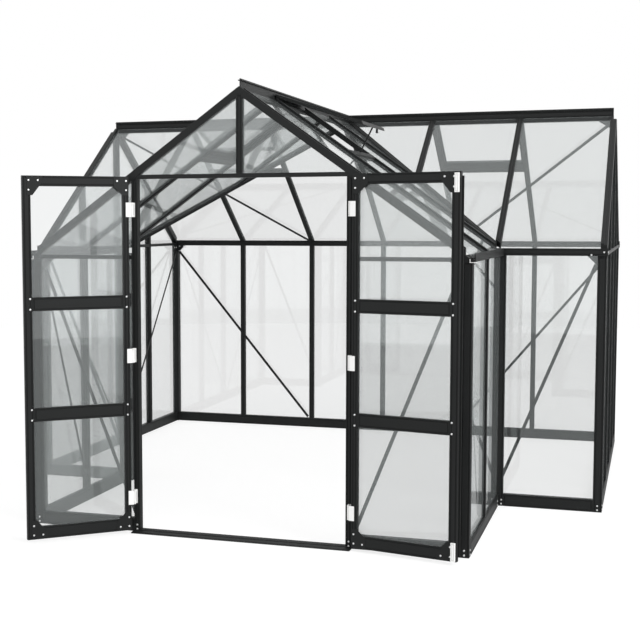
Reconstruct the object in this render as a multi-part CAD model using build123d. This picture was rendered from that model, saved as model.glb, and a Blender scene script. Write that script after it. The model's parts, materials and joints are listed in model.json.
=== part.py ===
from build123d import *
import os
from math import cos, radians, sin, sqrt

# Glass greenhouse with a cross gable: a main house with its ridge along X and a porch whose ridge
# runs along Y into the middle of the main ridge. Millimetres, +Z up, the porch faces -Y.
# The origin is on the ground in the middle of the doorway, half way through the thickness of the wall.

os.makedirs("parts", exist_ok=True)

# Driving sizes of the house
bay = 620.0                   # one glazing bar line to the next
end_inset = 30.0              # last bar line to the outside face of a wall
main_bay_count = 6            # bays along the main house
end_bay_count = 4             # bays across an end wall
front_bay_count = 4           # bays across the porch front
porch_bay_count = 2           # bays along a porch side
eave_height = 1602.0          # roof plane at the outside face of a wall
roof_rise = 904.0             # from there to the line where the two roof planes would meet

# Wall members
wall_depth = 40.0             # sills, posts, bars and beams, outside face to inside face
sill_height = 75.0
threshold_height = 12.0
threshold_lip = 3.0           # front edge of the ramp below the doors
threshold_reach = 55.0        # ramp, in front of the wall
post_width = 54.0
bar_width = 36.0
inner_post_reach = 26.0       # junction post, how far it goes past the porch wall
inner_post_return = 65.0      # junction post, how far it goes into the porch
tie_height = 22.0
lintel_drop = 71.5            # bottom of the lintel below the roof plane, beside a door post
lintel_height = 23.0

# Eave beams, ridges and roof bars
eave_beam_height = 45.0
gutter_reach = 15.0
gutter_wall = 4.0
gutter_depth = 32.0
upstand_width = 6.0
ridge_width = 40.0
ridge_height = 88.0
ridge_fin = 6.0               # upright fin between the glass of the two slopes
ridge_lift = 36.0             # top of the fin above the line where the roof planes would meet
ridge_cap_overhang = 9.0      # flange on the fin, to each side
ridge_cap_thickness = 5.0
ridge_cap_drop = 7.0          # top of the flange below the top of the fin
ridge_inset = 20.0            # end of a ridge, inside the outside face of its gable
roof_bar_depth = 30.0
rafter_depth = 45.0
rafter_foot = 30.0
rafter_step = 6.0             # outer half of a gable rafter, below the roof plane
apex_drop = 43.0              # flat top of an end wall below the line where the roof planes would meet
valley_width = 40.0
valley_depth = 40.0

# Glass
glass_thickness = 4.0
glass_setback = 10.0          # wall glass, behind the outside face
glass_drop = 19.0             # roof glass below the top of the roof bars, measured upright
glass_overhang = 2.0          # roof glass, past the outside face at the eave
seat = 0.3                    # clearance where one piece sits against another

# Roof vents
vent_length = 552.0           # ridge line to the vent sill, down the slope
vent_sill_width = 34.0
vent_sash_thickness = 18.0
vent_sash_bar = 30.0
vent_hinge_inset = 3.0        # hinge line past the edge of the ridge flange
vent_side_gap = 3.0
vent_sill_overlap = 14.0
vent_open_angle = 17.6
vent_stay_radius = 5.0

# Braces and corner plates
brace_width = 20.0
brace_thickness = 3.0
brace_head = 50.0             # upper end of a wall brace, below the eave beam
brace_foot = 15.0             # lower end of a wall brace, above the sill
brace_inset = 8.0             # lower end of a wall brace, from the edge of the upright
corner_plate = 72.0
plate_lap = 10.0              # corner plates on the back and wing walls, up onto the eave beam
roof_plate = 78.0
roof_brace_start = 42.0       # upper end of a roof brace, down the slope from the plate's corner

# Doors
hinge_offset = 25.0           # hinge pin in front of the porch face
hinge_shift = 5.0             # hinge pin outside the middle of the door post
hinge_gap = 21.0              # hinge pin to the edge of the leaf
leaf_gap = 13.4               # between the two closed leaves
leaf_thickness = 25.0
leaf_bottom = 18.0
leaf_overlap = 12.0           # top of a leaf above the bottom of the lintel
hinge_stile_width = 35.0
free_stile_width = 46.0
top_rail_height = 57.0
bottom_rail_height = 70.0
middle_rail_height = 75.0
middle_rail_tops = (1358.0, 749.0)
left_leaf_open = 139.5        # how far each leaf stands open, from closed
right_leaf_open = 168.4
edge_strip_reach = 8.0        # cover strip on the right leaf, past its free edge
edge_strip_width = 32.0
edge_strip_thickness = 4.0
edge_strip_end_gap = 22.0

# Door hinges
hinge_heights = (205.0, 1015.0, 1834.0)
hinge_height = 80.0
hinge_pin_radius = 4.0
hinge_bore_clearance = 0.1
knuckle_radius = 8.0
knuckle_end_gap = 1.0
hinge_arm_height = 9.0
hinge_plate_thickness = 3.5
hinge_plate_width = 30.0
post_plate_width = 20.0
post_plate_inset = 2.0        # bracket plate, from the outer edge of the door post
arm_overlap = 2.0             # bracket arm, past the middle of the pin

# Worked out from the driving sizes
half_length = main_bay_count * bay / 2 + end_inset
half_porch = front_bay_count * bay / 2 + end_inset
half_main = end_bay_count * bay / 2 + end_inset
front_y = -wall_depth / 2
wing_y = front_y + porch_bay_count * bay + end_inset
ridge_y = wing_y + half_main
back_y = ridge_y + half_main
ridge_line = eave_height + roof_rise
ridge_top = ridge_line + ridge_lift
ridge_bottom = ridge_top - ridge_height
eave_beam_bottom = eave_height - eave_beam_height
ridge_side = ridge_width / 2
fin_side = ridge_fin / 2
ridge_cap_side = fin_side + ridge_cap_overhang
half_bar = bar_width / 2
door_half = front_bay_count * bay / 4
pin_line = door_half + hinge_shift
lintel_bottom = ridge_line - roof_rise * (door_half - half_bar) / half_porch - lintel_drop
lintel_top = lintel_bottom + lintel_height
leaf_top = lintel_bottom + leaf_overlap
tie_top = eave_beam_bottom + tie_height


class Slope:
    """One roof plane. It falls from the ridge line to the eave over a run, measured in plan."""

    def __init__(self, run, distance):
        self.run = run
        self.distance = distance
        self.length = sqrt(run ** 2 + roof_rise ** 2)

    def height(self, x, y):
        return ridge_line - roof_rise * self.distance(x, y) / self.run

    def upright(self, thickness):
        """Height of a slice through the slope whose thickness is measured square to it."""
        return thickness * self.length / self.run

    def plan(self, along):
        """Plan distance of a length measured down the slope."""
        return along * self.run / self.length

    def fall(self, plan_distance):
        return roof_rise * plan_distance / self.run


porch_slope = Slope(half_porch, lambda x, y: abs(x))
main_slope = Slope(half_main, lambda x, y: abs(y - ridge_y))


class Wall:
    """An upright wall: it runs along one axis, and depth is measured inwards from its outside face."""

    def __init__(self, runs_along, outside, inward):
        self.runs_along = runs_along
        self.outside = outside
        self.inward = inward

    def point(self, along, depth, height):
        across = self.outside + self.inward * depth
        if self.runs_along == "x":
            return Vector(along, across, height)
        return Vector(across, along, height)

    def panel(self, outline, depth_from, depth_to):
        """A flat piece from an outline of (along, height) points."""
        face = Face(Wire.make_polygon([self.point(a, depth_from, h) for a, h in outline]))
        return Solid.extrude(face, self.point(0, depth_to, 0) - self.point(0, depth_from, 0))

    def block(self, along, heights, depths=(0, wall_depth)):
        (a, b), (low, high) = along, heights
        return self.panel([(a, low), (b, low), (b, high), (a, high)], *depths)

    def beam(self, section, start, end):
        """A profile of (depth, height) points, run along the wall."""
        face = Face(Wire.make_polygon([self.point(start, d, h) for d, h in section]))
        return Solid.extrude(face, self.point(end, 0, 0) - self.point(start, 0, 0))


front = Wall("x", front_y, 1)
wing = Wall("x", wing_y, 1)
back = Wall("x", back_y, -1)


def porch_side(side):
    return Wall("y", side * half_porch, -side)


def house_end(side):
    return Wall("y", side * half_length, -side)


def sloped(outline, top, bottom):
    """A piece with upright sides over a plan outline, between two planes given as height functions."""
    upper = [Vector(x, y, top(x, y)) for x, y in outline]
    lower = [Vector(x, y, bottom(x, y)) for x, y in outline]
    faces = [Face(Wire.make_polygon(upper)), Face(Wire.make_polygon(lower))]
    for i in range(len(outline)):
        j = (i + 1) % len(outline)
        faces.append(Face(Wire.make_polygon([lower[i], lower[j], upper[j], upper[i]])))
    return Solid(Shell(faces)).fix()


def on_slope(slope, outline, drop, thickness):
    """A piece that lies in a roof plane, its top a drop below the plane."""
    upright = slope.upright(thickness)
    return sloped(
        outline,
        lambda x, y: slope.height(x, y) - drop,
        lambda x, y: slope.height(x, y) - drop - upright,
    )


def clip(outline, a, b, limit):
    """Keeps the part of a plan outline where a*x + b*y is under the limit."""
    kept = []
    for i, (x1, y1) in enumerate(outline):
        x0, y0 = outline[i - 1]
        f0 = a * x0 + b * y0 - limit
        f1 = a * x1 + b * y1 - limit
        if f0 * f1 < 0:
            t = f0 / (f0 - f1)
            kept.append((x0 + t * (x1 - x0), y0 + t * (y1 - y0)))
        if f1 <= 0:
            kept.append((x1, y1))
    return kept


def rectangle(x_range, y_range):
    (x0, x1), (y0, y1) = x_range, y_range
    return [(x0, y0), (x1, y0), (x1, y1), (x0, y1)]


def mirrored(outline):
    return [(-x, y) for x, y in outline]


# The valley is the plan line from the ridge crossing to the corner of porch and wing
valley_length = sqrt(half_porch ** 2 + half_main ** 2)
valley_side = valley_width / 2
valley_middle = half_porch * ridge_y


def porch_side_of_valley(outline, clearance):
    """Clips a right-hand plan outline to the porch's side of the valley beam."""
    limit = valley_middle - (valley_side + clearance) * valley_length
    return clip(outline, half_main, half_porch, limit)


def wing_side_of_valley(outline, clearance):
    limit = -valley_middle - (valley_side + clearance) * valley_length
    return clip(outline, -half_main, -half_porch, limit)


def save(name, solids):
    shape = solids[0] if len(solids) == 1 else Compound(children=list(solids))
    shape.label = name
    export_step(shape, f"parts/{name}.step")


def both_sides(make):
    return [make(-1), make(1)]


def ordered(a, b):
    return (min(a, b), max(a, b))


# Base sills, with the low threshold between the door posts
def make_sills():
    side_panel = (door_half + half_bar + seat, half_porch - post_width - seat)
    sill = (0, sill_height)
    doorway = door_half - half_bar - seat
    ramp = [(-threshold_reach, 0), (-threshold_reach, threshold_lip), (-seat, threshold_height), (-seat, 0)]
    pieces = [front.block((-doorway, doorway), (0, threshold_height))]
    pieces.append(front.beam(ramp, -door_half - half_bar, door_half + half_bar))
    pieces += both_sides(lambda s: front.block(ordered(s * side_panel[0], s * side_panel[1]), sill))
    save("front_sill", pieces)

    along_porch = (front_y + post_width + seat, wing_y - seat)
    save("porch_side_sills", both_sides(lambda s: porch_side(s).block(along_porch, sill)))

    along_wing = (half_porch + inner_post_reach + seat, half_length - post_width - seat)
    along_end = (wing_y + post_width + seat, back_y - post_width - seat)
    reach = half_length - post_width - seat
    pieces = both_sides(lambda s: wing.block(ordered(s * along_wing[0], s * along_wing[1]), sill))
    pieces += both_sides(lambda s: house_end(s).block(along_end, sill))
    pieces.append(back.block((-reach, reach), sill))
    save("main_sills", pieces)


def rafter_underside(slope, distance):
    return ridge_line - slope.fall(distance) - slope.upright(rafter_depth)


# Corner posts and door posts
def make_posts():
    full = (0, eave_beam_bottom - seat)
    square = (0, post_width)
    corner = ordered(half_porch - post_width, half_porch)
    pieces = both_sides(lambda s: front.block(ordered(s * corner[0], s * corner[1]), full, square))
    save("porch_corner_posts", pieces)

    def door_post(s):
        near, far = door_half - half_bar, door_half + half_bar
        outline = [
            (s * near, 0),
            (s * far, 0),
            (s * far, rafter_underside(porch_slope, far) - seat),
            (s * near, rafter_underside(porch_slope, near) - seat),
        ]
        return front.panel(outline, 0, wall_depth)

    save("door_posts", both_sides(door_post))

    junction = (half_porch - inner_post_return, half_porch + inner_post_reach)
    save("junction_posts", both_sides(lambda s: wing.block(ordered(s * junction[0], s * junction[1]), full)))

    corner = (half_length - post_width, half_length)
    pieces = both_sides(lambda s: wing.block(ordered(s * corner[0], s * corner[1]), full, square))
    pieces += both_sides(lambda s: back.block(ordered(s * corner[0], s * corner[1]), full, square))
    save("main_corner_posts", pieces)


def bar_lines(first, count):
    return [first + k * bay for k in range(1, count)]


back_bar_lines = bar_lines(-half_length + end_inset, main_bay_count)
end_bar_lines = bar_lines(wing_y + end_inset, end_bay_count)
porch_bar_lines = bar_lines(front_y + end_inset, porch_bay_count)


def under_rafters(outline, slope, middle):
    """Cuts an outline of (along, height) points off below the two rafters of a gable."""
    pitch = roof_rise / slope.run
    peak = ridge_line - slope.upright(rafter_depth) - seat
    for side in (-1, 1):
        outline = clip(outline, side * pitch, 1, peak + side * pitch * middle)
    return outline


def gable_top(slope, middle, at):
    """Highest point of an upright in a gable wall, at one of its sides."""
    distance = abs(at - middle)
    if distance < ridge_side:
        return ridge_bottom - seat
    return rafter_underside(slope, distance) - seat


def gable_bar(wall, slope, middle, line, bottom):
    left, right = line - half_bar, line + half_bar
    tops = [gable_top(slope, middle, at) for at in (left, right)]
    if abs(line - middle) < half_bar:
        tops = [ridge_bottom - seat] * 2
    return wall.panel([(left, bottom), (right, bottom), (right, tops[1]), (left, tops[0])], 0, wall_depth)


# Glazing bars in the walls, the lintel and the ties at eave height
def make_wall_bars():
    upright = (sill_height + seat, eave_beam_bottom - seat)
    bars = [back.block((x - half_bar, x + half_bar), upright) for x in back_bar_lines]
    save("back_wall_bars", bars)
    bars = []
    for s in (-1, 1):
        bars += [gable_bar(house_end(s), main_slope, ridge_y, y, sill_height + seat) for y in end_bar_lines]
    save("end_wall_bars", bars)
    bars = []
    for s in (-1, 1):
        bars += [porch_side(s).block((y - half_bar, y + half_bar), upright) for y in porch_bar_lines]
    save("porch_side_bars", bars)

    reach = door_half - half_bar - seat
    lintel = [(-reach, lintel_bottom), (reach, lintel_bottom), (reach, lintel_top), (-reach, lintel_top)]
    save("door_lintel", [front.panel(under_rafters(lintel, porch_slope, 0), 0, wall_depth)])
    save("gable_mullion", [gable_bar(front, porch_slope, 0, 0, lintel_top + seat)])


tie_range = (eave_beam_bottom, tie_top)


def end_uprights():
    """Spans between the posts and bars of an end wall, as (from, to)."""
    stops = [wing_y + post_width]
    for y in end_bar_lines:
        stops += [y - half_bar, y + half_bar]
    stops.append(back_y - post_width)
    return list(zip(stops[0::2], stops[1::2]))


def make_ties():
    panel = (door_half + half_bar + seat, half_porch - post_width - seat)
    pieces = both_sides(lambda s: front.block(ordered(s * panel[0], s * panel[1]), tie_range))
    for s in (-1, 1):
        pieces += [house_end(s).block((a + seat, b - seat), tie_range) for a, b in end_uprights()]
    save("eave_ties", pieces)


def eave_section(slope):
    """Profile of an eave beam: gutter outside, upstand under the glass, seat for the roof bars."""
    glass_under = glass_drop + slope.upright(glass_thickness) + seat
    bar_under = slope.upright(roof_bar_depth) + seat
    floor = eave_height - gutter_depth

    def plane(depth):
        return eave_height + slope.fall(depth)

    return [
        (-gutter_reach, eave_beam_bottom),
        (-gutter_reach, eave_height),
        (-gutter_reach + gutter_wall, eave_height),
        (-gutter_reach + gutter_wall, floor),
        (0, floor),
        (0, plane(0) - glass_under),
        (upstand_width, plane(upstand_width) - glass_under),
        (upstand_width, plane(upstand_width) - bar_under),
        (wall_depth, plane(wall_depth) - bar_under),
        (wall_depth, eave_beam_bottom),
    ]


def ridge_sections(slope):
    """Profiles of a ridge: the body under the glass, and the fin with its flange above the body."""
    def under_glass(distance):
        return ridge_line - slope.fall(distance) - glass_drop - slope.upright(glass_thickness) - seat

    body = [
        (-ridge_side, ridge_bottom),
        (ridge_side, ridge_bottom),
        (ridge_side, under_glass(ridge_side)),
        (fin_side, under_glass(fin_side)),
        (-fin_side, under_glass(fin_side)),
        (-ridge_side, under_glass(ridge_side)),
    ]
    flange_top = ridge_top - ridge_cap_drop
    flange_bottom = flange_top - ridge_cap_thickness
    cap = [
        (-fin_side, under_glass(fin_side)),
        (fin_side, under_glass(fin_side)),
        (fin_side, flange_bottom),
        (ridge_cap_side, flange_bottom),
        (ridge_cap_side, flange_top),
        (fin_side, flange_top),
        (fin_side, ridge_top),
        (-fin_side, ridge_top),
        (-fin_side, flange_top),
        (-ridge_cap_side, flange_top),
        (-ridge_cap_side, flange_bottom),
        (-fin_side, flange_bottom),
    ]
    return body, cap


# Eave beams with their gutters, ridge beams and valley beams
def make_beams():
    def porch_eave(s):
        return porch_side(s).beam(eave_section(porch_slope), front_y, wing_y - gutter_reach - seat)

    save("porch_eaves", both_sides(porch_eave))

    def wing_eave(s):
        return wing.beam(eave_section(main_slope), s * (half_porch - wall_depth), s * half_length)

    back_eave = back.beam(eave_section(main_slope), -half_length, half_length)
    save("main_eaves", both_sides(wing_eave) + [back_eave])

    ridge_end = half_length - ridge_inset - seat
    ridge_body, ridge_cap = ridge_sections(main_slope)
    line = Wall("x", ridge_y, 1)
    ridge = line.beam(ridge_body, -ridge_end, ridge_end) + line.beam(ridge_cap, -ridge_end, ridge_end)
    save("main_ridge", [ridge.solid()])

    ridge_start = front_y + ridge_inset + seat
    ridge_body, ridge_cap = ridge_sections(porch_slope)
    line = Wall("y", 0, 1)
    ridge = line.beam(ridge_body, ridge_start, ridge_y - ridge_side - seat)
    ridge = ridge + line.beam(ridge_cap, ridge_start, ridge_y - ridge_cap_side - seat)
    save("porch_ridge", [ridge.solid()])

    def valley_top(x, y):
        share = (abs(x) * half_porch + (ridge_y - y) * half_main) / valley_length ** 2
        return ridge_line - roof_rise * share

    def valley(s):
        outline = rectangle((ridge_side + seat, half_porch), (wing_y, ridge_y - ridge_side - seat))
        outline = clip(outline, half_main, half_porch, valley_middle + valley_side * valley_length)
        outline = clip(outline, -half_main, -half_porch, -valley_middle + valley_side * valley_length)
        outline = clip(outline, 1, 0, half_porch - wall_depth - seat)
        outline = clip(outline, 0, -1, -(wing_y + wall_depth + seat))
        if s < 0:
            outline = mirrored(outline)
        return sloped(outline, valley_top, lambda x, y: valley_top(x, y) - valley_depth)

    save("valley_beams", both_sides(valley))


def gable_rafter(wall, slope, middle, half, side, apex):
    """One sloping top member of a gable wall, with its foot on the corner post.

    Its inner half stops at the side of the ridge. Its outer half lies a step lower and runs on past
    the end of the ridge to meet its twin, under a flat apex where the apex is lower than they are.
    """
    far = half - wall_depth - seat
    foot = half - post_width
    heel = foot - rafter_foot
    bearing = [
        (far, eave_beam_bottom + seat),
        (foot, eave_beam_bottom + seat),
        (foot, tie_top + seat),
        (heel, rafter_underside(slope, heel)),
    ]

    def top(distance, step=0.0):
        return ridge_line - slope.fall(distance) - slope.upright(step)

    near = ridge_side + seat
    inner = [(near, top(near)), (far, top(far))] + bearing + [(near, rafter_underside(slope, near))]

    near = seat / 2
    beside_bar = half_bar + seat
    flat = (top(0, rafter_step) - apex) * slope.run / roof_rise
    peak = [(near, apex), (flat, apex)] if flat > near else [(near, top(near, rafter_step))]
    outer = peak + [(far, top(far, rafter_step))] + bearing
    outer.append((beside_bar, rafter_underside(slope, beside_bar)))
    outer += [(beside_bar, ridge_bottom), (near, ridge_bottom)]

    def layer(outline, depths):
        return wall.panel([(middle + side * u, h) for u, h in outline], *depths)

    rafter = layer(outer, (0, ridge_inset)) + layer(inner, (ridge_inset, wall_depth))
    return rafter.solid()


def make_rafters():
    rafters = [gable_rafter(front, porch_slope, 0, half_porch, side, ridge_line) for side in (-1, 1)]
    save("porch_rafters", rafters)
    apex = ridge_line - apex_drop
    rafters = []
    for s in (-1, 1):
        wall = house_end(s)
        rafters += [gable_rafter(wall, main_slope, ridge_y, half_main, side, apex) for side in (-1, 1)]
    save("end_rafters", rafters)


porch_roof_lines = [front_y + end_inset + k * bay for k in range(1, porch_bay_count + end_bay_count // 2)]
front_roof_lines = [k * bay for k in range(1, main_bay_count // 2)]
porch_eave_stop = half_porch - upstand_width - seat
wing_eave_stop = wing_y + upstand_width + seat
back_eave_stop = back_y - upstand_width - seat


def porch_strip(y_from, y_to, x_to):
    """Right-hand plan outline on the porch roof, between two lines across it."""
    outline = rectangle((ridge_side + seat, x_to), (y_from, y_to))
    return porch_side_of_valley(outline, seat)


def front_strip(x_from, x_to, y_from, ridge_reach):
    """Right-hand plan outline on the front slope of the main roof, up to a reach from the ridge line."""
    outline = rectangle((x_from, x_to), (y_from, ridge_y - ridge_reach - seat))
    return wing_side_of_valley(outline, seat)


# Roof bars: full ones from ridge to eave, jack bars from ridge to valley
def make_roof_bars():
    bars = []
    for y in porch_roof_lines:
        reaches_eave = y + half_bar < wing_y - gutter_reach
        stop = porch_eave_stop if reaches_eave else half_porch - wall_depth - seat
        outline = porch_strip(y - half_bar, y + half_bar, stop)
        bars += [on_slope(porch_slope, o, 0, roof_bar_depth) for o in (mirrored(outline), outline)]
    save("porch_roof_bars", bars)

    bars = []
    for x in front_roof_lines:
        clears_porch = x - half_bar > half_porch
        stop = wing_eave_stop if clears_porch else wing_y + wall_depth + seat
        outline = front_strip(x - half_bar, x + half_bar, stop, ridge_side)
        bars += [on_slope(main_slope, o, 0, roof_bar_depth) for o in (mirrored(outline), outline)]
    save("front_roof_bars", bars)

    bars = []
    for x in back_bar_lines:
        outline = rectangle((x - half_bar, x + half_bar), (ridge_y + ridge_side + seat, back_eave_stop))
        bars.append(on_slope(main_slope, outline, 0, roof_bar_depth))
    save("back_roof_bars", bars)


# Each vent lies in one bay: slope, side of the ridge, middle of the bay, and whether it stands open
porch_vent_middle = front_y + end_inset + 1.5 * bay
back_vent_middle = 1.5 * bay
vents = [
    ("porch", -1, porch_vent_middle, False),
    ("porch", 1, porch_vent_middle, True),
    ("back", -1, -back_vent_middle, True),
    ("back", 1, back_vent_middle, False),
]


def vent_outline(kind, side, across, out):
    """Plan outline in a vent's bay, from ranges across the bay and out from the ridge."""
    if kind == "porch":
        return rectangle(ordered(side * out[0], side * out[1]), across)
    return rectangle(across, (ridge_y + out[0], ridge_y + out[1]))


def make_vents():
    sills, sashes, panes, stays = [], [], [], []
    for kind, side, middle, is_open in vents:
        slope = porch_slope if kind == "porch" else main_slope
        sill_from = slope.plan(vent_length)
        sill_to = sill_from + slope.plan(vent_sill_width)
        clear = bay / 2 - half_bar - seat
        outline = vent_outline(kind, side, (middle - clear, middle + clear), (sill_from, sill_to))
        sills.append(on_slope(slope, outline, 0, roof_bar_depth))

        # The sash lies on the bars and the sill, and swings about a line beside the ridge cap
        half = bay / 2 - vent_side_gap
        top = ridge_cap_side + vent_hinge_inset
        bottom = sill_from + slope.plan(vent_sill_overlap)
        rail = slope.plan(vent_sash_bar)
        lift = -(slope.upright(vent_sash_thickness) + 2 * seat)
        low, high = middle - half, middle + half
        inner = (low + vent_sash_bar + seat, high - vent_sash_bar - seat)
        pieces = [((low, low + vent_sash_bar), (top, bottom)), ((high - vent_sash_bar, high), (top, bottom))]
        pieces += [(inner, (top, top + rail)), (inner, (bottom - rail, bottom))]
        outlines = [vent_outline(kind, side, across, out) for across, out in pieces]
        frame = [on_slope(slope, outline, lift, vent_sash_thickness) for outline in outlines]
        glass_out = (top + rail + seat, bottom - rail - seat)
        glass_lift = lift + slope.upright((vent_sash_thickness - glass_thickness) / 2)
        pane = on_slope(slope, vent_outline(kind, side, inner, glass_out), glass_lift, glass_thickness)

        hinge_z = ridge_line - slope.fall(top)
        turn = vent_open_angle if is_open else 0
        if kind == "porch":
            hinge = Axis((side * top, 0, hinge_z), (0, -side, 0))
        else:
            hinge = Axis((0, ridge_y + top, hinge_z), (1, 0, 0))
        sashes += [piece.rotate(hinge, turn) for piece in frame]
        panes.append(pane.rotate(hinge, turn))

        if is_open:
            stays.append(vent_stay(kind, side, middle, slope, sill_from, top, bottom, hinge_z))
    save("vent_sills", sills)
    save("vent_sashes", sashes)
    save("vent_glass", panes)
    save("vent_stays", stays)


def vent_stay(kind, side, middle, slope, sill_from, top, bottom, hinge_z):
    """Round stay that holds a sash open, from the edge of the vent sill to the sash's bottom rail."""
    pitch = radians(vent_open_angle)
    foot_out = sill_from + vent_stay_radius
    foot = (foot_out, ridge_line - slope.fall(foot_out) + vent_stay_radius * slope.length / slope.run + seat)
    rail_out = bottom - slope.plan(vent_sash_bar) / 2
    drop = slope.upright(seat) - vent_stay_radius * slope.length / slope.run - seat
    arm = (rail_out - top, -slope.fall(rail_out - top) + drop)
    head_out = top + arm[0] * cos(pitch) - arm[1] * sin(pitch)
    head = (head_out, hinge_z + arm[0] * sin(pitch) + arm[1] * cos(pitch))

    def place(out, height):
        if kind == "porch":
            return Vector(side * out, middle, height)
        return Vector(middle, ridge_y + out, height)

    start, end = place(*foot), place(*head)
    rod = Solid.make_cylinder(vent_stay_radius, (end - start).length, Plane(start, z_dir=end - start))
    for point in (start, end):
        rod = rod + Pos(*point) * Sphere(vent_stay_radius)
    return rod.solid()


# Flat diagonal braces on the inside of the walls, and plates in the upper corners
inside_face = (wall_depth + seat, wall_depth + seat + brace_thickness)


def strip(start, end, width):
    """Outline of a flat strip between two points, as (along, height) points."""
    (u0, h0), (u1, h1) = start, end
    length = sqrt((u1 - u0) ** 2 + (h1 - h0) ** 2)
    du, dh = (u1 - u0) / length * width / 2, (h1 - h0) / length * width / 2
    return [(u0 - dh, h0 + du), (u1 - dh, h1 + du), (u1 + dh, h1 - du), (u0 + dh, h0 - du)]


brace_layer = (inside_face[1] + seat, inside_face[1] + seat + brace_thickness)


def wall_brace(wall, corner, way, foot, depths):
    """Brace from beside the post in a wall's corner down to a foot, both given along the wall."""
    top = (corner + way * (post_width + seat + brace_width / 2), eave_beam_bottom - brace_head)
    return wall.panel(strip(top, (foot, sill_height + brace_foot), brace_width), *depths)


def make_braces():
    braces = []
    beside_bar = half_bar + brace_inset
    for s in (-1, 1):
        inner_bar = s * (half_length - end_inset - 2 * bay)
        braces.append(wall_brace(back, s * half_length, -s, inner_bar + s * beside_bar, brace_layer))
        junction_middle = s * (half_porch + (inner_post_reach - inner_post_return) / 2)
        braces.append(wall_brace(wing, s * half_length, -s, junction_middle, brace_layer))
        braces.append(wall_brace(front, s * half_porch, -s, s * (door_half + beside_bar), brace_layer))
        braces.append(wall_brace(porch_side(s), front_y, 1, porch_bar_lines[0] - beside_bar, inside_face))
        for corner, way in ((wing_y, 1), (back_y, -1)):
            braces.append(wall_brace(house_end(s), corner, way, ridge_y - way * beside_bar, brace_layer))
    save("wall_braces", braces)


def make_corner_plates():
    plates = []
    for s in (-1, 1):
        corners = [
            (back, s * half_length, -s, plate_lap),
            (wing, s * half_length, -s, plate_lap),
            (front, s * half_porch, -s, 0),
            (house_end(s), wing_y, 1, 0),
            (house_end(s), back_y, -1, 0),
        ]
        for wall, edge, way, lap in corners:
            near = edge + way * (post_width + seat)
            top = eave_beam_bottom + lap
            outline = [(near, top), (near + way * corner_plate, top), (near, top - corner_plate)]
            plates.append(wall.panel(outline, *inside_face))
    save("corner_plates", plates)


# Roof braces on the back slope: a plate between ridge and rafter, and a brace under it to the eave
def make_roof_braces():
    under_bars = main_slope.upright(roof_bar_depth) + seat
    under_plate = under_bars + main_slope.upright(brace_thickness) + seat
    corner = (half_length - wall_depth - seat, ridge_y + ridge_side + seat)
    braces, plates = [], []
    for s in (-1, 1):
        plate = [
            (s * corner[0], corner[1]),
            (s * (corner[0] - roof_plate), corner[1]),
            (s * corner[0], corner[1] + main_slope.plan(roof_plate)),
        ]
        plates.append(on_slope(main_slope, plate, under_bars, brace_thickness))
        start = (s * (corner[0] - brace_width), corner[1] + main_slope.plan(roof_brace_start))
        end = (s * (half_length - end_inset - 2 * bay), back_y - wall_depth - seat - brace_width / 2)
        braces.append(on_slope(main_slope, strip(start, end, brace_width), under_plate, brace_thickness))
    save("roof_braces", plates + braces)


# Wall glass
wall_glass = (glass_setback, glass_setback + glass_thickness)
pane_heights = (sill_height + seat, eave_beam_bottom - seat)


def gable_pane(wall, slope, middle, half, span, bottom):
    """Pane of a gable wall between two uprights, from its bottom edge up to the rafters and their feet."""
    a, b = span
    outline = [(a, bottom), (b, bottom), (b, ridge_line), (a, ridge_line)]
    outline = under_rafters(outline, slope, middle)
    heel = half - post_width - rafter_foot
    heel_height = rafter_underside(slope, heel)
    pitch = (heel_height - tie_top) / rafter_foot
    for side in (-1, 1):
        limit = heel_height - seat + pitch * (heel + side * middle)
        outline = clip(outline, side * pitch, 1, limit)
    return wall.panel(outline, *wall_glass)


def clear_span(a, b):
    return (a + seat, b - seat)


def wall_panes(wall, stops):
    """Plain panes from the sill to the eave beam between pairs of stops."""
    bays = zip(stops[0::2], stops[1::2])
    return [wall.block(clear_span(a, b), pane_heights, wall_glass) for a, b in bays]


def make_wall_glass():
    below_tie = (sill_height + seat, tie_range[0] - seat)
    panes = []
    for s in (-1, 1):
        side = ordered(s * (door_half + half_bar), s * (half_porch - post_width))
        panes.append(front.block(clear_span(*side), below_tie, wall_glass))
        panes.append(gable_pane(front, porch_slope, 0, half_porch, clear_span(*side), tie_range[1] + seat))
        inner = ordered(s * half_bar, s * (door_half - half_bar))
        panes.append(gable_pane(front, porch_slope, 0, half_porch, clear_span(*inner), lintel_top + seat))
        wing_stops = sorted([s * (half_porch + inner_post_reach), s * (half_length - post_width)])
        panes += wall_panes(wing, wing_stops)
    save("front_glass", panes)

    stops = [front_y + post_width]
    for y in porch_bar_lines:
        stops += [y - half_bar, y + half_bar]
    stops.append(wing_y)
    save("porch_side_glass", wall_panes(porch_side(-1), stops) + wall_panes(porch_side(1), stops))

    panes = []
    for s in (-1, 1):
        wall = house_end(s)
        for span in end_uprights():
            panes.append(wall.block(clear_span(*span), below_tie, wall_glass))
            panes.append(gable_pane(wall, main_slope, ridge_y, half_main, clear_span(*span), tie_range[1] + seat))
    save("end_wall_glass", panes)

    stops = [-half_length + post_width]
    for x in back_bar_lines:
        stops += [x - half_bar, x + half_bar]
    stops.append(half_length - post_width)
    save("back_wall_glass", wall_panes(back, stops))


def spans(first, lines, last):
    """Clear spans between bars on the given lines."""
    stops = [first]
    for line in lines:
        stops += [line - half_bar, line + half_bar]
    stops.append(last)
    return [clear_span(a, b) for a, b in zip(stops[0::2], stops[1::2])]


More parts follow.
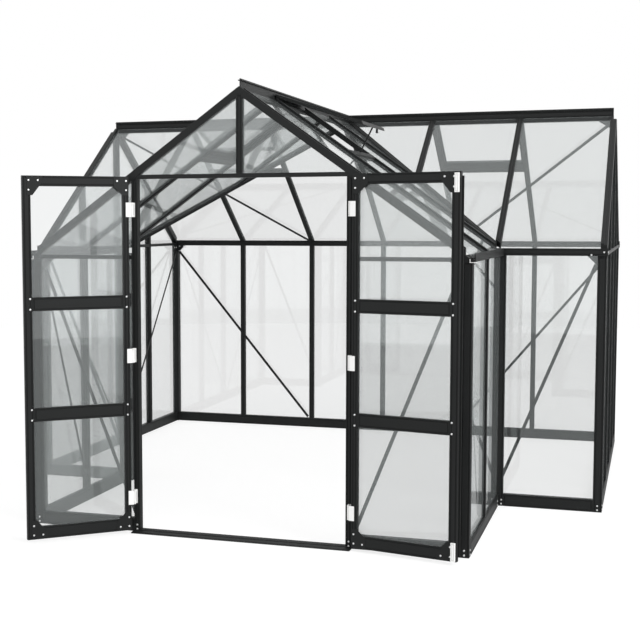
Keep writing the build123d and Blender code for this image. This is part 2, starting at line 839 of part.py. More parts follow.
# Roof glass, which runs up to the fin of the ridge, or only to the sill in a bay that has a vent
def make_roof_glass():
    def pane(slope, outline):
        return on_slope(slope, outline, glass_drop, glass_thickness)

    def start_of(slope, kind, side, span):
        for vent_kind, vent_side, middle, _ in vents:
            if vent_kind == kind and vent_side == side and span[0] < middle < span[1]:
                return slope.plan(vent_length) + slope.plan(vent_sill_width) + seat
        return fin_side + seat

    panes = []
    for span in spans(-half_length + wall_depth, back_bar_lines, half_length - wall_depth):
        side = 1 if sum(span) > 0 else -1
        top = ridge_y + start_of(main_slope, "back", side, span)
        panes.append(pane(main_slope, rectangle(span, (top, back_y + glass_overhang))))
    save("back_roof_glass", panes)

    panes = []
    for span in spans(ridge_side - half_bar, front_roof_lines, half_length - wall_depth):
        span = (max(span[0], ridge_side + seat), span[1])
        low = wing_y - glass_overhang if span[0] > half_porch - wall_depth else wing_y + wall_depth + seat
        outline = front_strip(*span, low, fin_side)
        panes += [pane(main_slope, o) for o in (mirrored(outline), outline)]
    save("front_roof_glass", panes)

    panes = []
    last = ridge_y - ridge_side
    for span in spans(front_y + wall_depth, porch_roof_lines, last):
        reaches_eave = span[1] < wing_y
        stop = half_porch + glass_overhang if reaches_eave else half_porch - wall_depth - seat
        for s in (-1, 1):
            outline = rectangle((start_of(porch_slope, "porch", s, span), stop), span)
            outline = porch_side_of_valley(outline, seat)
            if outline:
                panes.append(pane(porch_slope, mirrored(outline) if s < 0 else outline))
    save("porch_roof_glass", panes)


# Door leaves, drawn closed in front of the porch and then swung open about their hinge pins
hinge_y = front_y - hinge_offset
leaf_width = pin_line - hinge_gap - leaf_gap / 2


def leaf_block(side, reach, thick, heights):
    """Block of a closed leaf, its reach taken from the pin and thick from the leaf's middle plane."""
    across = ordered(*(side * (pin_line - r) for r in reach))
    depth = [hinge_y + t for t in thick]
    face = Face(Wire.make_polygon([Vector(x, y, heights[0]) for x, y in rectangle(across, depth)]))
    return Solid.extrude(face, Vector(0, 0, heights[1] - heights[0]))


def hinge_axis(side):
    return Axis((side * pin_line, hinge_y, 0), (0, 0, side))


def swung(side, solids):
    angle = left_leaf_open if side < 0 else right_leaf_open
    return [solid.rotate(hinge_axis(side), angle) for solid in solids]


rail_ranges = [(leaf_bottom, leaf_bottom + bottom_rail_height)]
rail_ranges += [(top - middle_rail_height, top) for top in reversed(middle_rail_tops)]
rail_ranges += [(leaf_top - top_rail_height, leaf_top)]


def make_leaf(name, side):
    thick = (-leaf_thickness / 2, leaf_thickness / 2)
    near, far = hinge_gap, hinge_gap + leaf_width
    between = (near + hinge_stile_width + seat, far - free_stile_width - seat)
    frame = [
        leaf_block(side, (near, near + hinge_stile_width), thick, (leaf_bottom, leaf_top)),
        leaf_block(side, (far - free_stile_width, far), thick, (leaf_bottom, leaf_top)),
    ]
    frame += [leaf_block(side, between, thick, heights) for heights in rail_ranges]
    save(f"{name}_door_frame", swung(side, frame))

    glass = (-glass_thickness / 2, glass_thickness / 2)
    panes = []
    for low, high in zip(rail_ranges, rail_ranges[1:]):
        panes.append(leaf_block(side, between, glass, (low[1] + seat, high[0] - seat)))
    save(f"{name}_door_glass", swung(side, panes))

    plate_face = leaf_thickness / 2 + seat
    plate = (plate_face, plate_face + hinge_plate_thickness)
    plate_start = knuckle_radius + knuckle_end_gap
    tongue = (-knuckle_radius / 2, knuckle_radius / 2)
    knuckles = []
    for middle in hinge_heights:
        half = hinge_height / 2 - hinge_arm_height - knuckle_end_gap
        heights = (middle - half, middle + half)
        full = (middle - hinge_height / 2, middle + hinge_height / 2)
        at = Pos(side * pin_line, hinge_y, middle)
        knuckle = at * Cylinder(knuckle_radius, 2 * half)
        knuckle = knuckle + leaf_block(side, (0, hinge_gap - seat), tongue, heights)
        knuckle = knuckle + leaf_block(side, (plate_start, hinge_gap - seat), (0, plate[1]), heights)
        knuckle = knuckle + leaf_block(side, (plate_start, plate_start + hinge_plate_width), plate, full)
        knuckle = knuckle - at * Cylinder(hinge_pin_radius + hinge_bore_clearance, 2 * hinge_height)
        knuckles.append(knuckle.solid())
    save(f"{name}_door_hinges", swung(side, knuckles))


# Strip on the outside of the right leaf that covers most of the gap between the closed leaves
def make_edge_strip():
    tip = hinge_gap + leaf_width + edge_strip_reach
    face = -leaf_thickness / 2 - seat
    heights = (leaf_bottom + edge_strip_end_gap, leaf_top - edge_strip_end_gap)
    bar = leaf_block(1, (tip - edge_strip_width, tip), (face - edge_strip_thickness, face), heights)
    save("door_edge_strip", swung(1, [bar]))


# Hinge pins and their brackets on the door posts
def make_hinge_brackets():
    brackets = []
    for side in (-1, 1):
        for middle in hinge_heights:
            low, high = middle - hinge_height / 2, middle + hinge_height / 2
            x = side * pin_line
            outer = side * (door_half + half_bar - post_plate_inset)
            plate_x = ordered(outer, outer - side * post_plate_width)
            plate = front.block(plate_x, (low, high), (-hinge_plate_thickness, -seat))
            at = Pos(x, hinge_y, middle)
            bracket = plate + at * Cylinder(hinge_pin_radius, hinge_height)
            for z in (low + hinge_arm_height / 2, high - hinge_arm_height / 2):
                arm_end = Pos(x, hinge_y, z) * Cylinder(knuckle_radius, hinge_arm_height)
                arm_x = ordered(x - side * arm_overlap, x + side * knuckle_radius)
                arm_z = (z - hinge_arm_height / 2, z + hinge_arm_height / 2)
                arm = front.block(arm_x, arm_z, (-hinge_offset, -hinge_plate_thickness))
                bracket = bracket + arm_end + arm
            brackets.append(bracket.solid())
    save("door_hinge_brackets", brackets)


make_sills()
make_posts()
make_wall_bars()
make_ties()
make_beams()
make_rafters()
make_roof_bars()
make_vents()
make_braces()
make_corner_plates()
make_roof_braces()
make_wall_glass()
make_roof_glass()
make_leaf("left", -1)
make_leaf("right", 1)
make_edge_strip()
make_hinge_brackets()
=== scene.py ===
import bpy
import bmesh
import json
import math
from mathutils import Matrix, Vector


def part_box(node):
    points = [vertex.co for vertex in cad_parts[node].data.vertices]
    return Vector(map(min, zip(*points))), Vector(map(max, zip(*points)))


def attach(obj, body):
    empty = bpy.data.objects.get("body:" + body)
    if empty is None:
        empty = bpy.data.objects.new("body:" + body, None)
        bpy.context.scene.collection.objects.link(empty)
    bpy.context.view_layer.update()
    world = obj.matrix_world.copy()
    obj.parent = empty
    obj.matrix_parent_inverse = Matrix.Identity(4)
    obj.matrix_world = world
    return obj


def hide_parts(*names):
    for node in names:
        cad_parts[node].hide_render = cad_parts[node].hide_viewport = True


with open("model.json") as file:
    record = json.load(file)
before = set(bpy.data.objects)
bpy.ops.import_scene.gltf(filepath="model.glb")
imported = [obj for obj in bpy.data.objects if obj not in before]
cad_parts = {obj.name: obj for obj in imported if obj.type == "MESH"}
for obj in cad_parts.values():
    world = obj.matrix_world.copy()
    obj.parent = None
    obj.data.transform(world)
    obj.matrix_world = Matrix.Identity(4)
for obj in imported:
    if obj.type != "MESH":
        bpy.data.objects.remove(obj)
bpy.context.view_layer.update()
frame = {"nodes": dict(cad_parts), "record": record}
nodes = frame["nodes"]
scene = bpy.context.scene
scene.view_settings.view_transform = "Standard"

# CAMERA
# A long lens at eye height, to the right of the doors, looking back across the house.
# The picture is a cut-out from a wider frame, so the lens is shifted sideways.
picture = 640
lens_pixels = 1234.44
optical_centre = (249.31, 321.88)
heading, dip, lean = 18.157, 4.675, -0.12
camera_data = bpy.data.cameras.new("camera")
camera_data.sensor_width = 36
camera_data.lens = camera_data.sensor_width * lens_pixels / picture
camera_data.shift_x = (picture / 2 - optical_centre[0]) / picture
camera_data.shift_y = (optical_centre[1] - picture / 2) / picture
camera = bpy.data.objects.new("camera", camera_data)
camera.location = (2.1581, -6.4261, 1.7707)
turned = Matrix.Rotation(math.radians(heading), 3, "Z")
tilted = Matrix.Rotation(math.radians(90 - dip), 3, "X")
rolled = Matrix.Rotation(math.radians(lean), 3, "Z")
camera.rotation_euler = (turned @ tilted @ rolled).to_euler()
scene.collection.objects.link(camera)
scene.camera = camera


# STUDIO
# A white floor and surround under soft light. Polished things see the white surround down to a
# low horizon and a greyer floor below it, which is what puts the step of tone into the glass.
class Wire:
    """A socket of a node tree that takes part in sums; each sum adds its Math nodes."""

    def __init__(self, tree, output):
        self.tree = tree
        self.output = output

    @classmethod
    def node(cls, tree, kind, settings=None, sockets=None, out=0):
        """Adds a node: its settings first, then the values or links of its sockets."""
        made = tree.nodes.new(kind)
        for name, value in (settings or {}).items():
            setattr(made, name, value)
        for key, value in (sockets or {}).items():
            if isinstance(value, Wire):
                tree.links.new(value.output, made.inputs[key])
            else:
                made.inputs[key].default_value = value
        return cls(tree, made.outputs[out]) if made.outputs else None

    def maths(self, operation, *values):
        sockets = dict(enumerate(values))
        return Wire.node(self.tree, "ShaderNodeMath", {"operation": operation}, sockets)

    def __add__(self, other):
        return self.maths("ADD", self, other)

    def __sub__(self, other):
        return self.maths("SUBTRACT", self, other)

    def __rsub__(self, other):
        return self.maths("SUBTRACT", other, self)

    def __mul__(self, other):
        return self.maths("MULTIPLY", self, other)

    __radd__ = __add__
    __rmul__ = __mul__

    def either(self, other):
        return self.maths("MAXIMUM", self, other)

    def power(self, exponent):
        return self.maths("POWER", self, exponent)


def new_tree(owner):
    """The node tree of a world or a material, emptied."""
    owner.use_nodes = True
    owner.node_tree.nodes.clear()
    return owner.node_tree


def squeezed(place, by):
    """A place multiplied along X, Y and Z, so that a pattern that reads it is packed or drawn out."""
    return Wire.node(place.tree, "ShaderNodeVectorMath", {"operation": "MULTIPLY"}, {0: place, 1: by})


def noise(place, scale, detail):
    """Soft cloudy noise over a place, from 0 to 1."""
    sockets = {"Vector": place, "Scale": scale, "Detail": detail}
    return Wire.node(place.tree, "ShaderNodeTexNoise", None, sockets)


white = (1, 1, 1, 1)
upright_panels = (1, 1, 0.02)
surround_low, surround_step = 0.8, 0.4
soft_light = 0.85
world = bpy.data.worlds.new("studio")
scene.world = world
tree = new_tree(world)
camera_ray = Wire.node(tree, "ShaderNodeLightPath", out="Is Camera Ray")
glossy_ray = Wire(tree, camera_ray.output.node.outputs["Is Glossy Ray"])
through_ray = Wire(tree, camera_ray.output.node.outputs["Is Transmission Ray"])
direction = Wire.node(tree, "ShaderNodeTexCoord", out="Generated")
surround = surround_low + surround_step * noise(squeezed(direction, upright_panels), 5.0, 1.0)
seen = camera_ray.either(through_ray)
level = seen + (1 - seen) * (glossy_ray * surround + (1 - glossy_ray) * soft_light)
shell = Wire.node(tree, "ShaderNodeBackground", None, {"Color": white, "Strength": level})
Wire.node(tree, "ShaderNodeOutputWorld", None, {"Surface": shell})

floor_radius = 12.8
floor_middle = (0, 1.9, -0.0015)
floor_grey = (0.3, 0.3, 0.3, 1)
floor_glow, floor_in_gloss = 0.78, 0.55
bpy.ops.object.select_all(action="DESELECT")
bpy.ops.mesh.primitive_circle_add(vertices=96, radius=floor_radius, fill_type="NGON", location=floor_middle)
floor = bpy.context.object
floor.name = "studio_floor"
floor_paint = bpy.data.materials.new("white_floor")
tree = new_tree(floor_paint)
glossy_ray = Wire.node(tree, "ShaderNodeLightPath", out="Is Glossy Ray")
matt = Wire.node(tree, "ShaderNodeBsdfDiffuse", None, {"Color": floor_grey})
glow = Wire.node(tree, "ShaderNodeEmission", None, {"Color": white, "Strength": floor_glow})
lit = Wire.node(tree, "ShaderNodeAddShader", None, {0: matt, 1: glow})
grey = Wire.node(tree, "ShaderNodeEmission", None, {"Color": white, "Strength": floor_in_gloss})
floor_look = Wire.node(tree, "ShaderNodeMixShader", None, {0: glossy_ray, 1: lit, 2: grey})
Wire.node(tree, "ShaderNodeOutputMaterial", None, {"Surface": floor_look})
floor.data.materials.append(floor_paint)

key_aim = Vector((0, 1.5, 1))
key_data = bpy.data.lights.new("key_panel", "AREA")
key_data.shape = "RECTANGLE"
key_data.size = 5
key_data.size_y = 4
key_data.energy = 620
key = bpy.data.objects.new("key_panel", key_data)
key.location = (9, -4, 6)
key.rotation_euler = (key_aim - key.location).to_track_quat("-Z", "Y").to_euler()
scene.collection.objects.link(key)

# BLACK PROFILES
# Extruded aluminium bars with a satin black powder coat, which has a fine orange-peel skin.
# Faint die lines run along each bar; the bars are cut to length and bolted together.
same_point, same_plane = 0.00001, math.radians(0.5)
shortest_bar = 0.2
narrowest_side, widest_side = 0.03, 0.1
sharpest_corner = 0.6
groove_margin, groove = 0.0065, 0.0036
groove_wall = groove / 3
broken_edge = 0.0007
lines_across, lines_along, lines_plain = 260, 1.5, 35
coat_deep, coat_pale = (0.0085, 0.0093, 0.0093, 1), (0.0150, 0.0162, 0.0162, 1)


def between(share, first, second):
    """A colour that goes from the first to the second with share, by the Mix node's colour sockets."""
    colour_a, colour_b, colour_result = 6, 7, 2
    sockets = {"Factor": share, colour_a: first, colour_b: second}
    return Wire.node(share.tree, "ShaderNodeMix", {"data_type": "RGBA"}, sockets, out=colour_result)


def powder_coat(name, die_lines):
    """die_lines is how tightly the faint lines are packed along X, Y and Z."""
    material = bpy.data.materials.new(name)
    tree = new_tree(material)
    place = Wire.node(tree, "ShaderNodeTexCoord", out="Object")
    lines = noise(squeezed(place, die_lines), 1.0, 2.0)
    peel = noise(place, 420.0, 2.0)
    cloud = noise(place, 2.2, 3.0)
    colour = between(cloud * 0.7 + lines * 0.3, coat_deep, coat_pale)
    relief = Wire.node(
        tree, "ShaderNodeBump", None, {"Strength": 0.35, "Distance": 0.00025, "Height": peel + lines * 0.6}
    )
    surface = Wire.node(
        tree, "ShaderNodeBsdfPrincipled", None,
        {"Base Color": colour, "Roughness": 0.36 + 0.1 * lines + 0.08 * cloud, "Specular IOR Level": 0.22,
         "Normal": relief},
    )
    Wire.node(tree, "ShaderNodeOutputMaterial", None, {"Surface": surface})
    return material


def dress(names, material):
    """Gives CAD nodes a finish."""
    for name in names:
        node = nodes[name]
        node.data.materials.clear()
        node.data.materials.append(material)


def pick_faces(mesh, wanted):
    """Selects, in edit mode, the faces for which wanted(face) is true."""
    bpy.ops.mesh.select_mode(type="FACE")
    bpy.ops.mesh.select_all(action="DESELECT")
    shape = bmesh.from_edit_mesh(mesh)
    for face in shape.faces:
        if wanted(face):
            face.select_set(True)
    bmesh.update_edit_mesh(mesh)


def is_bar_side(face):
    """A long face with plain corners that is wide enough to carry the drawn grooves."""
    lengths = [edge.calc_length() for edge in face.edges]
    width = face.calc_area() / max(lengths)
    plain = all(loop.is_convex and loop.calc_angle() > sharpest_corner for loop in face.loops)
    return plain and max(lengths) > shortest_bar and min(lengths) > narrowest_side and width < widest_side


def drawn_profile(name, body, coat):
    """Stands for a CAD node: the same bars with a drawn groove round each long face and broken edges."""
    bpy.ops.object.select_all(action="DESELECT")
    bar = bpy.data.objects.new(name + "_profiles", nodes[name].data.copy())
    scene.collection.objects.link(bar)
    bpy.context.view_layer.objects.active = bar
    bar.select_set(True)
    bpy.ops.object.mode_set(mode="EDIT")
    bpy.ops.mesh.select_all(action="SELECT")
    bpy.ops.mesh.remove_doubles(threshold=same_point)
    bpy.ops.mesh.dissolve_limited(angle_limit=same_plane)
    pick_faces(bar.data, is_bar_side)
    bpy.ops.mesh.inset(thickness=groove_margin, use_individual=True, use_even_offset=True)
    bpy.ops.mesh.inset(thickness=groove_wall, depth=-groove, use_individual=True)
    bpy.ops.mesh.inset(thickness=groove, use_individual=True)
    bpy.ops.mesh.inset(thickness=groove_wall, depth=groove, use_individual=True)
    bpy.ops.object.mode_set(mode="OBJECT")
    broken = bar.modifiers.new("broken_edges", "BEVEL")
    broken.width = broken_edge
    broken.segments = 1
    broken.limit_method = "ANGLE"
    bpy.ops.object.modifier_apply(modifier=broken.name)
    bar.data.materials.clear()
    bar.data.materials.append(coat)
    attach(bar, body)
    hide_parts(name)


coat_upright = powder_coat("black_coat_upright", (lines_across, lines_across, lines_along))
coat_along_x = powder_coat("black_coat_along_x", (lines_along, lines_across, lines_across))
coat_along_y = powder_coat("black_coat_along_y", (lines_across, lines_along, lines_across))
coat_plain = powder_coat("black_coat_plain", (lines_plain, lines_plain, lines_plain))
for coat, names in (
    (coat_upright, ["porch_corner_posts", "door_posts", "junction_posts", "main_corner_posts",
                    "back_wall_bars", "end_wall_bars", "porch_side_bars", "gable_mullion"]),
    (coat_along_x, ["front_sill", "door_lintel", "main_ridge"]),
    (coat_along_y, ["porch_side_sills", "porch_eaves", "porch_ridge"]),
    (coat_plain, ["main_sills", "eave_ties", "main_eaves", "valley_beams", "porch_rafters",
                  "end_rafters", "porch_roof_bars", "front_roof_bars", "back_roof_bars", "vent_sills",
                  "vent_sashes"]),
):
    for name in names:
        drawn_profile(name, "greenhouse", coat)
drawn_profile("left_door_frame", "left_door", coat_upright)
drawn_profile("right_door_frame", "right_door", coat_upright)
dress(["door_edge_strip", "wall_braces", "corner_plates", "roof_braces", "vent_stays"], coat_plain)

# GLASS
# Toughened 4 mm panes with a pale green-grey cast that mirror the studio strongly. They sit dry in the
# bars. Each pane has two faces, and seen straight on each face passes about five sixths of the light.
glass_green, glass_grey = (0.57, 0.625, 0.61, 1), (0.63, 0.65, 0.66, 1)
face_on = 0.155
panes_in_line = 32
glass = bpy.data.materials.new("pale_glass")
tree = new_tree(glass)
place = Wire.node(tree, "ShaderNodeTexCoord", out="Object")
glass_colour = between(noise(place, 0.9, 2.0), glass_green, glass_grey)
glancing = Wire.node(tree, "ShaderNodeLayerWeight", None, {"Blend": 0.5}, out="Facing")
cover = face_on + (1 - face_on) * glancing.power(5)
glass_surface = Wire.node(
    tree, "ShaderNodeBsdfPrincipled", None,
    {"Base Color": glass_colour, "Roughness": 0.02, "Metallic": 0.8, "Alpha": cover},
)
Wire.node(tree, "ShaderNodeOutputMaterial", None, {"Surface": glass_surface})
glass.surface_render_method = "BLENDED"
dress([name for name in nodes if name.endswith("_glass")], glass)
scene.cycles.transparent_max_bounces = 2 * panes_in_line

# HINGES
# White powder-coated steel. The knuckles and their plates are fixed to the leaf, and the pins with their
# arms to the door post. The coat has a fine skin, as the black one has.
hinge_white = bpy.data.materials.new("white_coat")
tree = new_tree(hinge_white)
place = Wire.node(tree, "ShaderNodeTexCoord", out="Object")
peel = noise(place, 500.0, 2.0)
relief = Wire.node(tree, "ShaderNodeBump", None, {"Strength": 0.3, "Distance": 0.0002, "Height": peel})
hinge_surface = Wire.node(
    tree, "ShaderNodeBsdfPrincipled", None,
    {"Base Color": (0.86, 0.86, 0.85, 1), "Roughness": 0.3 + 0.1 * peel, "Normal": relief},
)
Wire.node(tree, "ShaderNodeOutputMaterial", None, {"Surface": hinge_surface})
dress(["left_door_hinges", "right_door_hinges", "door_hinge_brackets"], hinge_white)

# BOLTS
# Bright zinc button heads with a round socket, at the feet of the posts and at the ends of the gutters.
# One head is modelled on the ground, and the others are copies of it turned to their faces.
head_radius, head_height = 0.0053, 0.0034
head_rounding = 0.55 * head_height
head_rim, socket_slope, socket_depth = 0.0013, 0.0002, 0.0015
square_on = 0.999
post = 0.054
door_post_x = 0.62
junction_step = 0.017
last_foot = 0.05
foot_bolts = (0.014, 0.039)
gutter_bolts = ((0.017, 1.58), (0.09, 1.563))
cap_thickness = 0.005
cap_from_edge = 0.011
cap_bolt_height = 1.58
forwards, backwards = (0, -1, 0), (0, 1, 0)

zinc_dull, zinc_bright = (0.78, 0.79, 0.80, 1), (0.94, 0.94, 0.93, 1)
zinc = bpy.data.materials.new("bright_zinc")
tree = new_tree(zinc)
place = Wire.node(tree, "ShaderNodeTexCoord", out="Object")
plating = noise(place, 300.0, 3.0)
zinc_colour = between(plating, zinc_dull, zinc_bright)
zinc_surface = Wire.node(
    tree, "ShaderNodeBsdfPrincipled", None,
    {"Base Color": zinc_colour, "Metallic": 0.75, "Roughness": 0.28 + 0.14 * plating},
)
Wire.node(tree, "ShaderNodeOutputMaterial", None, {"Surface": zinc_surface})


def pick_towards(mesh, way):
    """Selects, in edit mode, the faces that look straight along a direction."""
    pick_faces(mesh, lambda face: face.normal.dot(Vector(way)) > square_on)


bpy.ops.object.select_all(action="DESELECT")
bpy.ops.mesh.primitive_cylinder_add(
    vertices=18, radius=head_radius, depth=head_height, location=(0, 0, head_height / 2)
)
bolt_head = bpy.context.object
bolt_head.name = "bolt_head"
bpy.ops.object.mode_set(mode="EDIT")
pick_towards(bolt_head.data, (0, 0, 1))
bpy.ops.mesh.bevel(offset=head_rounding, segments=3, affect="EDGES")
pick_towards(bolt_head.data, (0, 0, 1))
bpy.ops.mesh.inset(thickness=head_rim)
bpy.ops.mesh.inset(thickness=socket_slope, depth=-socket_depth)
bpy.ops.object.mode_set(mode="OBJECT")
bpy.ops.object.transform_apply()
bolt_head.data.materials.append(zinc)


def joined(name, parts):
    """Joins objects into one, with its place in its mesh."""
    bpy.ops.object.select_all(action="DESELECT")
    for part in parts:
        part.select_set(True)
    bpy.context.view_layer.objects.active = parts[0]
    bpy.ops.object.join()
    whole = bpy.context.object
    bpy.ops.object.transform_apply()
    whole.name = name
    return whole


def heads_at(places, out):
    """Copies of the bolt head at places, their tops turned to the direction out."""
    turn = Vector(out).to_track_quat("Z", "Y").to_matrix().to_4x4()
    heads = []
    for place in places:
        head = bolt_head.copy()
        head.data = bolt_head.data.copy()
        head.matrix_world = Matrix.Translation(place) @ turn
        scene.collection.objects.link(head)
        heads.append(head)
    return heads


def fix_to_house(name, parts):
    """Joins parts into one piece that stays with the house."""
    piece = joined(name, parts)
    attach(piece, "greenhouse")


front_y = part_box("door_posts")[0][1]
wing_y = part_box("junction_posts")[0][1]
back_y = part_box("main_corner_posts")[1][1]
side_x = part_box("porch_corner_posts")[1][0]
end_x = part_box("main_corner_posts")[1][0]
front_gutter_y, back_gutter_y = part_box("main_eaves")[0][1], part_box("main_eaves")[1][1]
cap_face = end_x + cap_thickness
cap_middles = (front_gutter_y + cap_from_edge, back_gutter_y - cap_from_edge)
porch_side_feet = (front_y + post / 2, wing_y - last_foot)
end_wall_feet = (wing_y + post / 2, back_y - post / 2)
heads = []
for side in (-1, 1):
    outwards = (side, 0, 0)
    porch_post, end_post = side * (side_x - post / 2), side * (end_x - post / 2)
    door_post, junction_post = side * door_post_x, side * (side_x + junction_step)
    for z in foot_bolts:
        heads += heads_at([(porch_post, front_y, z), (door_post, front_y, z)], forwards)
        heads += heads_at([(end_post, wing_y, z), (junction_post, wing_y, z)], forwards)
        heads += heads_at([(end_post, back_y, z)], backwards)
        heads += heads_at([(side * side_x, y, z) for y in porch_side_feet], outwards)
        heads += heads_at([(side * end_x, y, z) for y in end_wall_feet], outwards)
    heads += heads_at([(side * (end_x - inset), front_gutter_y, z) for inset, z in gutter_bolts], forwards)
    heads += heads_at([(side * cap_face, y, cap_bolt_height) for y in cap_middles], outwards)
fix_to_house("frame_bolts", heads)

# CORNER PLATE BOLTS
# Flat three-cornered black plates stiffen the upper corners of the walls, on their inside faces. Three
# bright zinc heads hold each plate: one in its square corner, and one towards each of its points.
plate_from_outside = 0.0433
bolt_near, bolt_far = 0.012, 0.052
high_plate_top, low_plate_top = 1.562, 1.552


def plate_bolts(corner, way, top):
    """Places of a plate's three heads, along its wall and in height."""
    near, far = corner + way * bolt_near, corner + way * bolt_far
    return [(near, top - bolt_near), (far, top - bolt_near), (near, top - bolt_far)]


heads = []
for side in (-1, 1):
    for wall_y, out, edge_x, top in (
        (back_y - plate_from_outside, -1, end_x, high_plate_top),
        (wing_y + plate_from_outside, 1, end_x, high_plate_top),
        (front_y + plate_from_outside, 1, side_x, low_plate_top),
    ):
        spots = plate_bolts(edge_x - post, -1, top)
        heads += heads_at([(side * x, wall_y, z) for x, z in spots], (0, out, 0))
    for post_y, way in ((wing_y, 1), (back_y, -1)):
        spots = plate_bolts(post_y + way * post, way, low_plate_top)
        heads += heads_at([(side * (end_x - plate_from_outside), y, z) for y, z in spots], (-side, 0, 0))
fix_to_house("corner_plate_bolts", heads)

# DOOR PLATES
# Pressed plates with the black coat square up the four corners of each leaf, on the face that is inside
# when it is shut. Three bolts hold each plate, and two hold each end of a middle rail.
leaf_near, leaf_width = 0.021, 0.5973
leaf_low, leaf_high = 0.018, 2.018
half_leaf = 0.0125
plate_thickness, plate_seat, plate_edge = 0.0022, 0.0001, 0.0005
hinge_plate = [(0.002, 0.002), (0.087, 0.002), (0.087, 0.057), (0.034, 0.106), (0.002, 0.106)]
free_plate = [(0.024, 0.002), (0.110, 0.002), (0.110, 0.036), (0.056, 0.106), (0.024, 0.106)]
hinge_bolts = [(0.016, 0.025), (0.067, 0.025), (0.016, 0.076)]
free_bolts = [(0.035, 0.025), (0.086, 0.025), (0.035, 0.077)]
rail_middles = (0.7115, 1.3205)
rail_bolt_reaches = (0.018, -0.034)
rail_bolt_steps = (-0.029, 0.029)


def leaf_joint(side):
    """The hinge of the leaf on a side of the doorway."""
    joints = frame["record"]["behaviour"]["joints"]
    return next(joint for joint in joints if side * joint["pos_m"][0] > 0)


pin_x, pin_y = leaf_joint(1)["pos_m"][:2]


def leaf_point(side, reach, height, out=0.0):
    """Point on the inside face of a closed leaf, from its hinge edge, or from its free edge if negative."""
    along = leaf_near + (reach if reach >= 0 else leaf_width + reach)
    return Vector((side * (pin_x - along), pin_y + half_leaf + out, height))


def corner_points(side, way, edge, up, spots, out):
    """Points on a closed leaf whose spots are measured in from one of its corners."""
    return [leaf_point(side, way * reach, edge + up * height, out) for reach, height in spots]


def cut_plate(corners):
    """A plate from the points of its outline on the leaf's face, thickened and with broken edges."""
    bpy.ops.object.select_all(action="DESELECT")
    bpy.ops.mesh.primitive_circle_add(vertices=len(corners), fill_type="NGON")
    plate = bpy.context.object
    for vertex, corner in zip(plate.data.vertices, corners):
        vertex.co = corner
    bpy.ops.object.mode_set(mode="EDIT")
    bpy.ops.mesh.select_all(action="SELECT")
    bpy.ops.mesh.extrude_region_move(TRANSFORM_OT_translate={"value": (0, plate_thickness, 0)})
    bpy.ops.mesh.select_all(action="SELECT")
    bpy.ops.mesh.normals_make_consistent(inside=False)
    bpy.ops.mesh.bevel(offset=plate_edge, segments=1, affect="EDGES")
    bpy.ops.object.mode_set(mode="OBJECT")
    plate.data.materials.append(coat_plain)
    return plate


def hang_on_leaf(name, parts, side):
    """Joins parts made on the closed leaf and swings them to where it stands, to ride on it."""
    piece = joined(name, parts)
    joint = leaf_joint(side)
    pin = Vector(joint["pos_m"])
    turn = Matrix.Rotation(math.radians(-joint["range_deg"][0]), 4, Vector(joint["axis"]))
    piece.matrix_world = Matrix.Translation(pin) @ turn @ Matrix.Translation(-pin)
    bpy.ops.object.transform_apply()
    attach(piece, joint["child"])


for side, leaf in ((-1, "left_leaf"), (1, "right_leaf")):
    plates, spots = [], []
    for outline, bolts, way in ((hinge_plate, hinge_bolts, 1), (free_plate, free_bolts, -1)):
        for edge, up in ((leaf_low, 1), (leaf_high, -1)):
            plates.append(cut_plate(corner_points(side, way, edge, up, outline, plate_seat)))
            spots += corner_points(side, way, edge, up, bolts, plate_thickness)
    for middle in rail_middles:
        for reach in rail_bolt_reaches:
            spots += [leaf_point(side, reach, middle + step) for step in rail_bolt_steps]
    hang_on_leaf(leaf + "_corner_plates", plates, side)
    hang_on_leaf(leaf + "_bolts", heads_at(spots, backwards), side)
bpy.data.objects.remove(bolt_head)

# SLIDE BOLTS
# White-coated slide bolts hold the right leaf shut, at the top and the bottom of its free edge. Each is
# a rounded block on the leaf's inside face, with a raised bar in a shallow well.
slide_size = (0.025, 0.0113, 0.098)
slide_from_edge, slide_stand_off = 0.0185, 0.0058
slide_middles = (leaf_low + 0.052, leaf_high - 0.056)
slide_rounding, slide_rim = 0.0024, 0.0028
well_slope, well_depth = 0.0005, 0.004
bar_gap, bar_height = 0.0016, 0.0035


def block(centre, size):
    """A block of that size with its place in its mesh, left in edit mode and selected all over."""
    bpy.ops.object.select_all(action="DESELECT")
    bpy.ops.mesh.primitive_cube_add(size=1, location=centre, scale=size)
    bpy.ops.object.transform_apply()
    bpy.ops.object.mode_set(mode="EDIT")
    bpy.ops.mesh.select_all(action="SELECT")
    return bpy.context.object


slides = []
for middle in slide_middles:
    slide = block(leaf_point(1, -slide_from_edge, middle, slide_stand_off), slide_size)
    bpy.ops.mesh.bevel(offset=slide_rounding, segments=3, affect="EDGES")
    pick_towards(slide.data, backwards)
    bpy.ops.mesh.inset(thickness=slide_rim)
    bpy.ops.mesh.inset(thickness=well_slope, depth=-well_depth)
    bpy.ops.mesh.inset(thickness=bar_gap)
    bpy.ops.mesh.inset(thickness=well_slope, depth=bar_height)
    bpy.ops.object.mode_set(mode="OBJECT")
    slide.data.materials.append(hinge_white)
    slides.append(slide)
hang_on_leaf("slide_bolts", slides, 1)

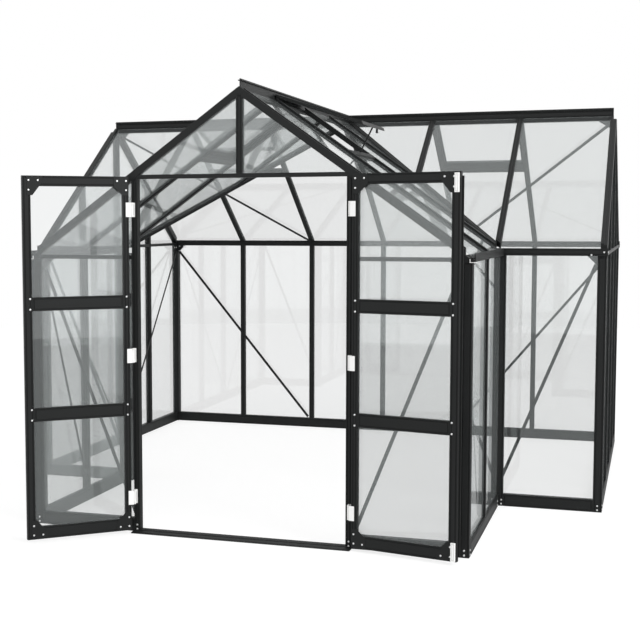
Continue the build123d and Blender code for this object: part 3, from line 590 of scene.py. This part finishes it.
# GUTTER CAPS
# Pressed caps with the black coat close both ends of the main gutters, flat on the ends of the house.
# Each has a rim round a recess 1 mm deep and one bolt, whose head starts at the level of the rim.
cap_width, cap_height, cap_level = 0.024, 0.05, 1.5795
cap_rim, cap_recess, cap_edge = 0.002, 0.001, 0.0004
caps = []
for side in (-1, 1):
    for middle in cap_middles:
        centre = (side * (end_x + cap_thickness / 2), middle, cap_level)
        cap = block(centre, (cap_thickness, cap_width, cap_height))
        pick_towards(cap.data, (side, 0, 0))
        bpy.ops.mesh.inset(thickness=cap_rim)
        bpy.ops.mesh.inset(thickness=cap_recess, depth=-cap_recess)
        bpy.ops.mesh.select_all(action="SELECT")
        bpy.ops.mesh.bevel(offset=cap_edge, segments=1, affect="EDGES")
        bpy.ops.object.mode_set(mode="OBJECT")
        cap.data.materials.append(coat_plain)
        caps.append(cap)
fix_to_house("gutter_caps", caps)

# WINDOW PEGS
# A small moulded black peg hangs under the free rail of each open roof window, to one side of its stay.
# It tapers upwards, has a hollow foot, and its top is sunk about 3 mm into the rail.
peg_length, peg_foot, peg_neck = 0.03, 0.0085, 0.005
peg_top = 2.337
peg_rounding, peg_rim = 0.0015, 0.002
hollow_slope, hollow_depth = 0.0004, 0.002
pegs = []
for x, y in ((0.5185, 1.1), (-0.77, 3.0385)):
    bpy.ops.object.select_all(action="DESELECT")
    bpy.ops.mesh.primitive_cone_add(
        vertices=20, radius1=peg_foot, radius2=peg_neck, depth=peg_length,
        location=(x, y, peg_top - peg_length / 2),
    )
    bpy.ops.object.transform_apply()
    peg = bpy.context.object
    bpy.ops.object.mode_set(mode="EDIT")
    pick_towards(peg.data, (0, 0, -1))
    bpy.ops.mesh.bevel(offset=peg_rounding, segments=2, affect="EDGES")
    pick_towards(peg.data, (0, 0, -1))
    bpy.ops.mesh.inset(thickness=peg_rim)
    bpy.ops.mesh.inset(thickness=hollow_slope, depth=-hollow_depth)
    bpy.ops.object.mode_set(mode="OBJECT")
    peg.data.materials.append(coat_plain)
    pegs.append(peg)
fix_to_house("window_pegs", pegs)

# GUTTER CLIPS
# Small clips of bent white sheet at the front ends of the porch gutters. Each is two flats that meet in
# an L: one lies under the gutter, against the corner post, and one stands against the end of the eave.
clip_reach, clip_edge = 0.004, 0.0006
lying_flat = (1.272, 1.5545), (0.036, 0.008, 0.003)
standing_flat = (1.2562, 1.5644), (0.003, 0.0076, 0.0172)
clips = []
for side in (-1, 1):
    for (x, z), measures in (lying_flat, standing_flat):
        clip = block((side * x, front_y - clip_reach, z), measures)
        bpy.ops.mesh.bevel(offset=clip_edge, segments=1, affect="EDGES")
        bpy.ops.object.mode_set(mode="OBJECT")
        clip.data.materials.append(hinge_white)
        clips.append(clip)
fix_to_house("gutter_clips", clips)
